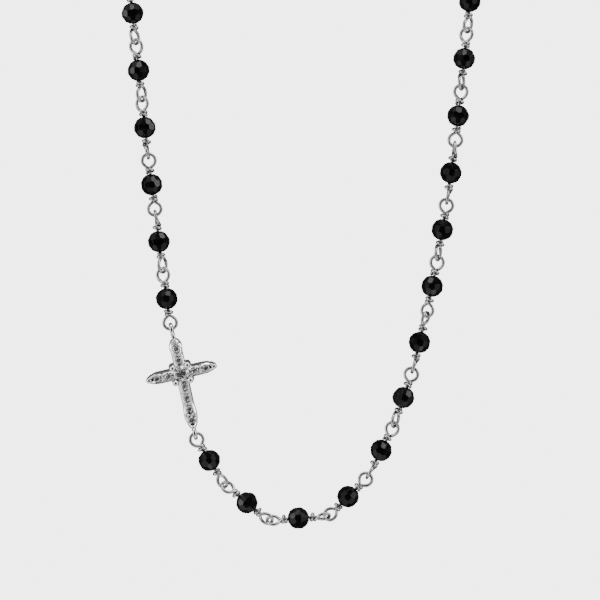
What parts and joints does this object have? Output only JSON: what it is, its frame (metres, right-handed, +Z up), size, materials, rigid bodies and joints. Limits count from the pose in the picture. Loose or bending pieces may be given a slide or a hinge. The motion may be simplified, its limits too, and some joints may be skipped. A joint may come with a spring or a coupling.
{
  "type": "rosary necklace",
  "caption": "Rosary-style necklace of black faceted beads on wrapped silver wire links, with a stone-set cross in one strand.",
  "frame": {"origin": "middle of the necklace's outline as it lies flat, on the surface it lies on", "axes": "+Y up the two strands towards the clasp, +X to the right as seen from above, +Z up from the surface"},
  "size_m": [0.0798, 0.1974, 0.004],
  "materials": {
    "silver": "bright polished silver",
    "black_stone": "polished facets",
    "clear_stone": "clear faceted stone",
    "spring_steel": "drawn spring wire"
  },
  "bodies": {
    "cross": {"cross": "silver", "centre_stone": "clear_stone"},
    "left_wire_01": {"left_wire_01": "silver"},
    "left_bead_01": {"left_bead_01": "black_stone"},
    "left_wire_02": {"left_wire_02": "silver"},
    "left_bead_02": {"left_bead_02": "black_stone"},
    "left_wire_03": {"left_wire_03": "silver"},
    "left_bead_03": {"left_bead_03": "black_stone"},
    "left_wire_04": {"left_wire_04": "silver"},
    "left_bead_04": {"left_bead_04": "black_stone"},
    "left_wire_05": {"left_wire_05": "silver"},
    "left_bead_05": {"left_bead_05": "black_stone"},
    "left_beaded_link_06": {"left_beaded_link_06": "black_stone"},
    "left_beaded_link_07": {"left_beaded_link_07": "black_stone"},
    "left_beaded_link_08": {"left_beaded_link_08": "black_stone"},
    "left_beaded_link_09": {"left_beaded_link_09": "black_stone"},
    "left_beaded_link_10": {"left_beaded_link_10": "black_stone"},
    "left_beaded_link_11": {"left_beaded_link_11": "black_stone"},
    "left_beaded_link_12": {"left_beaded_link_12": "black_stone"},
    "left_beaded_link_13": {"left_beaded_link_13": "black_stone"},
    "left_beaded_link_14": {"left_beaded_link_14": "black_stone"},
    "jump_ring": {"jump_ring": "silver"},
    "clasp_body": {"clasp_body": "silver", "clasp_rivet": "silver", "clasp_spring": "spring_steel"},
    "clasp_lever": {"clasp_lever": "silver"},
    "right_wire_01": {"right_wire_01": "silver"},
    "right_bead_01": {"right_bead_01": "black_stone"},
    "right_wire_02": {"right_wire_02": "silver"},
    "right_bead_02": {"right_bead_02": "black_stone"},
    "right_wire_03": {"right_wire_03": "silver"},
    "right_bead_03": {"right_bead_03": "black_stone"},
    "right_wire_04": {"right_wire_04": "silver"},
    "right_bead_04": {"right_bead_04": "black_stone"},
    "right_wire_05": {"right_wire_05": "silver"},
    "right_bead_05": {"right_bead_05": "black_stone"},
    "right_wire_06": {"right_wire_06": "silver"},
    "right_bead_06": {"right_bead_06": "black_stone"},
    "right_wire_07": {"right_wire_07": "silver"},
    "right_bead_07": {"right_bead_07": "black_stone"},
    "right_wire_08": {"right_wire_08": "silver"},
    "right_bead_08": {"right_bead_08": "black_stone"},
    "right_wire_09": {"right_wire_09": "silver"},
    "right_bead_09": {"right_bead_09": "black_stone"},
    "right_wire_10": {"right_wire_10": "silver"},
    "right_bead_10": {"right_bead_10": "black_stone"},
    "right_wire_11": {"right_wire_11": "silver"},
    "right_bead_11": {"right_bead_11": "black_stone"},
    "right_wire_12": {"right_wire_12": "silver"},
    "right_bead_12": {"right_bead_12": "black_stone"},
    "right_beaded_link_13": {"right_beaded_link_13": "black_stone"},
    "right_beaded_link_14": {"right_beaded_link_14": "black_stone"},
    "right_beaded_link_15": {"right_beaded_link_15": "black_stone"},
    "right_beaded_link_16": {"right_beaded_link_16": "black_stone"},
    "right_beaded_link_17": {"right_beaded_link_17": "black_stone"},
    "right_beaded_link_18": {"right_beaded_link_18": "black_stone"},
    "right_beaded_link_19": {"right_beaded_link_19": "black_stone"},
    "right_beaded_link_20": {"right_beaded_link_20": "black_stone"},
    "end_ring": {"end_ring": "silver"}
  },
  "joints": [
    {"name": "left_hook_01", "type": "hinge", "parent": "cross", "child": "left_wire_01", "pos_m": [-0.02222, -0.06191, 0.002], "axis": [-0.9898, -0.1422, 0], "range_deg": [-90, 90]},
    {"name": "left_bead_01_spin", "type": "hinge", "parent": "left_wire_01", "child": "left_bead_01", "pos_m": [-0.02303, -0.0563, 0.002], "axis": [-0.1422, 0.9898, 0], "continuous": true},
    {"name": "left_hook_02", "type": "hinge", "parent": "left_wire_01", "child": "left_wire_02", "pos_m": [-0.02373, -0.05141, 0.002], "axis": [-0.4957, -0.0655, 0.866], "range_deg": [-90, 90]},
    {"name": "left_bead_02_spin", "type": "hinge", "parent": "left_wire_02", "child": "left_bead_02", "pos_m": [-0.02447, -0.0458, 0.002], "axis": [-0.131, 0.9914, 0], "continuous": true},
    {"name": "left_hook_03", "type": "hinge", "parent": "left_wire_02", "child": "left_wire_03", "pos_m": [-0.02513, -0.04091, 0.002], "axis": [0.9926, 0.1217, 0], "range_deg": [-90, 90]},
    {"name": "left_bead_03_spin", "type": "hinge", "parent": "left_wire_03", "child": "left_bead_03", "pos_m": [-0.02582, -0.03529, 0.002], "axis": [-0.1217, 0.9926, 0], "continuous": true},
    {"name": "left_hook_04", "type": "hinge", "parent": "left_wire_03", "child": "left_wire_04", "pos_m": [-0.02642, -0.03039, 0.002], "axis": [0, 0, -1], "range_deg": [-90, 25]},
    {"name": "left_bead_04_spin", "type": "hinge", "parent": "left_wire_04", "child": "left_bead_04", "pos_m": [-0.02706, -0.02476, 0.002], "axis": [-0.1139, 0.9935, 0], "continuous": true},
    {"name": "left_hook_05", "type": "hinge", "parent": "left_wire_04", "child": "left_wire_05", "pos_m": [-0.02762, -0.01985, 0.002], "axis": [-0.5703, -0.0615, 0.8192], "range_deg": [-90, 90]},
    {"name": "left_bead_05_spin", "type": "hinge", "parent": "left_wire_05", "child": "left_bead_05", "pos_m": [-0.02823, -0.01423, 0.002], "axis": [-0.1072, 0.9942, 0], "continuous": true},
    {"name": "left_hook_06", "type": "hinge", "parent": "left_wire_05", "child": "left_beaded_link_06", "pos_m": [-0.02876, -0.00932, 0.002], "axis": [0.4974, 0.0507, -0.866], "range_deg": [-90, 90]},
    {"name": "left_hook_07", "type": "hinge", "parent": "left_beaded_link_06", "child": "left_beaded_link_07", "pos_m": [-0.02984, 0.00123, 0.002], "axis": [-0.9953, -0.0965, 0], "range_deg": [-90, 90]},
    {"name": "left_hook_08", "type": "hinge", "parent": "left_beaded_link_07", "child": "left_beaded_link_08", "pos_m": [-0.03086, 0.01178, 0.002], "axis": [0, 0, 1], "range_deg": [-50, 90]},
    {"name": "left_hook_09", "type": "hinge", "parent": "left_beaded_link_08", "child": "left_beaded_link_09", "pos_m": [-0.03184, 0.02233, 0.002], "axis": [0.9961, 0.0882, 0], "range_deg": [-90, 90]},
    {"name": "left_hook_10", "type": "hinge", "parent": "left_beaded_link_09", "child": "left_beaded_link_10", "pos_m": [-0.03278, 0.03289, 0.002], "axis": [0, 0, -1], "range_deg": [-90, 90]},
    {"name": "left_hook_11", "type": "hinge", "parent": "left_beaded_link_10", "child": "left_beaded_link_11", "pos_m": [-0.03368, 0.04346, 0.002], "axis": [-0.9967, -0.0815, 0], "range_deg": [-90, 90]},
    {"name": "left_hook_12", "type": "hinge", "parent": "left_beaded_link_11", "child": "left_beaded_link_12", "pos_m": [-0.03454, 0.05402, 0.002], "axis": [0, 0, 1], "range_deg": [-90, 90]},
    {"name": "left_hook_13", "type": "hinge", "parent": "left_beaded_link_12", "child": "left_beaded_link_13", "pos_m": [-0.03538, 0.06459, 0.002], "axis": [0.9971, 0.0761, 0], "range_deg": [-90, 90]},
    {"name": "left_hook_14", "type": "hinge", "parent": "left_beaded_link_13", "child": "left_beaded_link_14", "pos_m": [-0.03618, 0.07516, 0.002], "axis": [0, 0, -1], "range_deg": [-90, 90]},
    {"name": "jump_ring_hook", "type": "hinge", "parent": "left_beaded_link_14", "child": "jump_ring", "pos_m": [-0.03696, 0.08568, 0.002], "axis": [-0.9973, -0.0738, 0], "range_deg": [-90, 90]},
    {"name": "clasp_hook", "type": "hinge", "parent": "jump_ring", "child": "clasp_body", "pos_m": [-0.03712, 0.08775, 0.002], "axis": [0, 0, 1], "range_deg": [-70, 70]},
    {"name": "clasp_lever_pivot", "type": "hinge", "parent": "clasp_body", "child": "clasp_lever", "pos_m": [-0.03787, 0.09121, 0.002], "axis": [0, 0, -1], "range_deg": [0, 25], "stiffness_Nm_per_rad": 0.0004, "springref_deg": -17.19},
    {"name": "right_hook_01", "type": "hinge", "parent": "cross", "child": "right_wire_01", "pos_m": [-0.01815, -0.08128, 0.002], "axis": [0.852, 0.5235, 0], "range_deg": [-90, 90]},
    {"name": "right_bead_01_spin", "type": "hinge", "parent": "right_wire_01", "child": "right_bead_01", "pos_m": [-0.01518, -0.08611, 0.002], "axis": [0.5235, -0.852, 0], "continuous": true},
    {"name": "right_hook_02", "type": "hinge", "parent": "right_wire_01", "child": "right_wire_02", "pos_m": [-0.01269, -0.0904, 0.002], "axis": [0.4393, 0.5541, -0.7071], "range_deg": [-90, 90]},
    {"name": "right_bead_02_spin", "type": "hinge", "parent": "right_wire_02", "child": "right_bead_02", "pos_m": [-0.00825, -0.09392, 0.002], "axis": [0.7836, -0.6212, 0], "continuous": true},
    {"name": "right_hook_03", "type": "hinge", "parent": "right_wire_02", "child": "right_wire_03", "pos_m": [-0.00441, -0.09718, 0.002], "axis": [0.0492, -0.6409, 0.766], "range_deg": [-90, 90]},
    {"name": "right_bead_03_spin", "type": "hinge", "parent": "right_wire_03", "child": "right_bead_03", "pos_m": [0.00123, -0.09675, 0.002], "axis": [0.9971, 0.0765, 0], "continuous": true},
    {"name": "right_hook_04", "type": "hinge", "parent": "right_wire_03", "child": "right_wire_04", "pos_m": [0.00636, -0.09675, 0.002], "axis": [0.6072, -0.6175, 0.5], "range_deg": [-80, 80]},
    {"name": "right_bead_04_spin", "type": "hinge", "parent": "right_wire_04", "child": "right_bead_04", "pos_m": [0.01039, -0.09278, 0.002], "axis": [0.713, 0.7011, 0], "continuous": true},
    {"name": "right_hook_05", "type": "hinge", "parent": "right_wire_04", "child": "right_wire_05", "pos_m": [0.01387, -0.08928, 0.002], "axis": [0, 0, 1], "range_deg": [-90, 20]},
    {"name": "right_bead_05_spin", "type": "hinge", "parent": "right_wire_05", "child": "right_bead_05", "pos_m": [0.01648, -0.08426, 0.002], "axis": [0.4601, 0.8878, 0], "continuous": true},
    {"name": "right_hook_06", "type": "hinge", "parent": "right_wire_05", "child": "right_wire_06", "pos_m": [0.01875, -0.07987, 0.002], "axis": [0.3998, -0.137, -0.9063], "range_deg": [-90, 90]},
    {"name": "right_bead_06_spin", "type": "hinge", "parent": "right_wire_06", "child": "right_bead_06", "pos_m": [0.02059, -0.07452, 0.002], "axis": [0.3242, 0.946, 0], "continuous": true},
    {"name": "right_hook_07", "type": "hinge", "parent": "right_wire_06", "child": "right_wire_07", "pos_m": [0.02217, -0.06984, 0.002], "axis": [0, 0, 1], "range_deg": [-90, 20]},
    {"name": "right_bead_07_spin", "type": "hinge", "parent": "right_wire_07", "child": "right_bead_07", "pos_m": [0.02356, -0.06435, 0.002], "axis": [0.2454, 0.9694, 0], "continuous": true},
    {"name": "right_hook_08", "type": "hinge", "parent": "right_wire_07", "child": "right_wire_08", "pos_m": [0.02481, -0.05957, 0.002], "axis": [-0.8494, 0.1688, -0.5], "range_deg": [-90, 90]},
    {"name": "right_bead_08_spin", "type": "hinge", "parent": "right_wire_08", "child": "right_bead_08", "pos_m": [0.02591, -0.05402, 0.002], "axis": [0.1949, 0.9808, 0], "continuous": true},
    {"name": "right_hook_09", "type": "hinge", "parent": "right_wire_08", "child": "right_wire_09", "pos_m": [0.02687, -0.04917, 0.002], "axis": [0.3376, -0.0548, -0.9397], "range_deg": [-90, 90]},
    {"name": "right_bead_09_spin", "type": "hinge", "parent": "right_wire_09", "child": "right_bead_09", "pos_m": [0.02778, -0.04359, 0.002], "axis": [0.1601, 0.9871, 0], "continuous": true},
    {"name": "right_hook_10", "type": "hinge", "parent": "right_wire_09", "child": "right_wire_10", "pos_m": [0.02856, -0.03871, 0.002], "axis": [0, 0, 1], "range_deg": [-90, 25]},
    {"name": "right_bead_10_spin", "type": "hinge", "parent": "right_wire_10", "child": "right_bead_10", "pos_m": [0.02933, -0.0331, 0.002], "axis": [0.1347, 0.9909, 0], "continuous": true},
    {"name": "right_hook_11", "type": "hinge", "parent": "right_wire_10", "child": "right_wire_11", "pos_m": [0.03001, -0.02821, 0.002], "axis": [0.9933, -0.1155, 0], "range_deg": [-90, 90]},
    {"name": "right_bead_11_spin", "type": "hinge", "parent": "right_wire_11", "child": "right_bead_11", "pos_m": [0.03066, -0.02259, 0.002], "axis": [0.1155, 0.9933, 0], "continuous": true},
    {"name": "right_hook_12", "type": "hinge", "parent": "right_wire_11", "child": "right_wire_12", "pos_m": [0.03123, -0.01768, 0.002], "axis": [0.3403, -0.0343, -0.9397], "range_deg": [-90, 90]},
    {"name": "right_bead_12_spin", "type": "hinge", "parent": "right_wire_12", "child": "right_bead_12", "pos_m": [0.0318, -0.01205, 0.002], "axis": [0.1004, 0.995, 0], "continuous": true},
    {"name": "right_hook_13", "type": "hinge", "parent": "right_wire_12", "child": "right_beaded_link_13", "pos_m": [0.0323, -0.00713, 0.002], "axis": [-0.5713, 0.0506, 0.8192], "range_deg": [-90, 90]},
    {"name": "right_hook_14", "type": "hinge", "parent": "right_beaded_link_13", "child": "right_beaded_link_14", "pos_m": [0.03323, 0.00343, 0.002], "axis": [0, 0, -1], "range_deg": [-55, 90]},
    {"name": "right_hook_15", "type": "hinge", "parent": "right_beaded_link_14", "child": "right_beaded_link_15", "pos_m": [0.03407, 0.01399, 0.002], "axis": [-0.9976, 0.0698, 0], "range_deg": [-90, 90]},
    {"name": "right_hook_16", "type": "hinge", "parent": "right_beaded_link_15", "child": "right_beaded_link_16", "pos_m": [0.03481, 0.02457, 0.002], "axis": [0, 0, 1], "range_deg": [-90, 90]},
    {"name": "right_hook_17", "type": "hinge", "parent": "right_beaded_link_16", "child": "right_beaded_link_17", "pos_m": [0.03548, 0.03515, 0.002], "axis": [0.9984, -0.0566, 0], "range_deg": [-90, 90]},
    {"name": "right_hook_18", "type": "hinge", "parent": "right_beaded_link_17", "child": "right_beaded_link_18", "pos_m": [0.03607, 0.04573, 0.002], "axis": [0, 0, -1], "range_deg": [-90, 90]},
    {"name": "right_hook_19", "type": "hinge", "parent": "right_beaded_link_18", "child": "right_beaded_link_19", "pos_m": [0.03662, 0.05631, 0.002], "axis": [-0.9989, 0.0467, 0], "range_deg": [-90, 90]},
    {"name": "right_hook_20", "type": "hinge", "parent": "right_beaded_link_19", "child": "right_beaded_link_20", "pos_m": [0.03712, 0.0669, 0.002], "axis": [0, 0, 1], "range_deg": [-90, 90]},
    {"name": "end_ring_hook", "type": "hinge", "parent": "right_beaded_link_20", "child": "end_ring", "pos_m": [0.03756, 0.07739, 0.002], "axis": [0.9991, -0.0426, 0], "range_deg": [-90, 90]}
  ]
}
